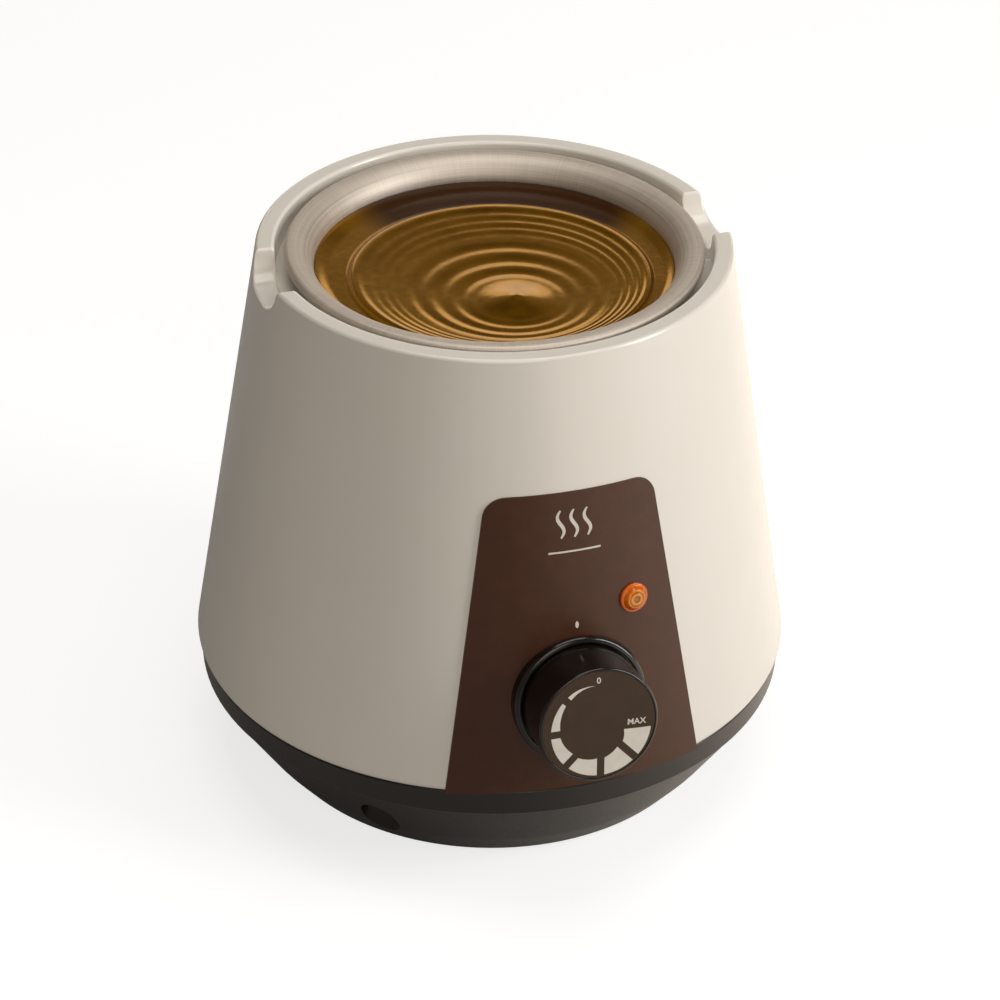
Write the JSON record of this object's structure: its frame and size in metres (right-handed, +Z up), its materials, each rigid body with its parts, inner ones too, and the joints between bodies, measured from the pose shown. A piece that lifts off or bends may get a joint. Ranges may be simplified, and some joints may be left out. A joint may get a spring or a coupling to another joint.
{
  "type": "electric chocolate melting pot",
  "caption": "Conical dry-heat chocolate melter: a steel pot hung in a cream housing with finger notches, on a black base, with a heat dial and pilot lamp on a curved dark panel.",
  "frame": {"origin": "on the table under the pot's axis, at the underside of the foot ring", "axes": "+Z up; the control panel and its dial face -Y; the mains cord leaves at the back along +Y; +X is to the right of someone who faces the dial"},
  "size_m": [0.2595, 0.2833, 0.246],
  "materials": {
    "shell_plastic": "gloss",
    "base_plastic": "satin",
    "panel_plastic": "satin",
    "knob_plastic": "satin",
    "disc_plastic": "matt print",
    "lamp_plastic": "matt",
    "lens_amber": "clear amber",
    "foot_rubber": "matt",
    "pot_steel": "brushed",
    "zinc_steel": "zinc plated",
    "thermostat_steel": "plain sheet",
    "aluminium": "plain sheet",
    "copper": "copper",
    "brass": "plain",
    "chocolate": "liquid gloss",
    "heater_silicone": "matt",
    "glass_wool": "felted",
    "block_plastic": "matt",
    "lead_brown": "satin",
    "lead_black": "satin",
    "lead_green": "satin"
  },
  "bodies": {
    "housing": {"body_shell": "shell_plastic", "base_tray": "base_plastic", "base_screws": "zinc_steel", "foot_ring": "foot_rubber", "cord_gland": "base_plastic", "gland_nut": "base_plastic", "control_panel": "panel_plastic", "knob_bezel": "knob_plastic", "thermostat_body": "thermostat_steel", "thermostat_screws": "zinc_steel", "capillary_tube": "copper", "sensing_bulb": "copper", "bulb_clips": "zinc_steel", "pilot_lamp_lens": "lens_amber", "pilot_lamp_body": "lamp_plastic", "pilot_lamp_nut": "zinc_steel", "heating_well": "aluminium", "well_screws": "zinc_steel", "band_heater": "heater_silicone", "heater_straps": "zinc_steel", "strap_bolts": "zinc_steel", "strap_nuts": "zinc_steel", "insulation_jacket": "glass_wool", "thermal_cutout": "lamp_plastic", "cutout_screws": "zinc_steel", "earth_tag": "copper", "earth_screw": "zinc_steel", "terminal_block": "block_plastic", "terminal_inserts": "brass", "terminal_screws": "zinc_steel", "block_screws": "zinc_steel", "supply_lead": "lead_brown", "cutout_lead": "lead_brown", "heater_leads": "lead_black", "lamp_leads": "lead_black", "earth_lead": "lead_green"},
    "lifting_pot": {"pot": "pot_steel", "melted_chocolate": "chocolate"},
    "dial": {"knob": "knob_plastic", "dial_disc": "disc_plastic", "knob_clip": "zinc_steel", "thermostat_spindle": "aluminium"}
  },
  "joints": [
    {"name": "pot_lift", "type": "slide", "parent": "housing", "child": "lifting_pot", "axis": [0, 0, 1], "range_m": [0, 0.18]},
    {"name": "knob_turn", "type": "hinge", "parent": "housing", "child": "dial", "pos_m": [0, -0.12415, 0.0987], "axis": [0, 0.9867, -0.1624], "range_deg": [0, 270]}
  ]
}
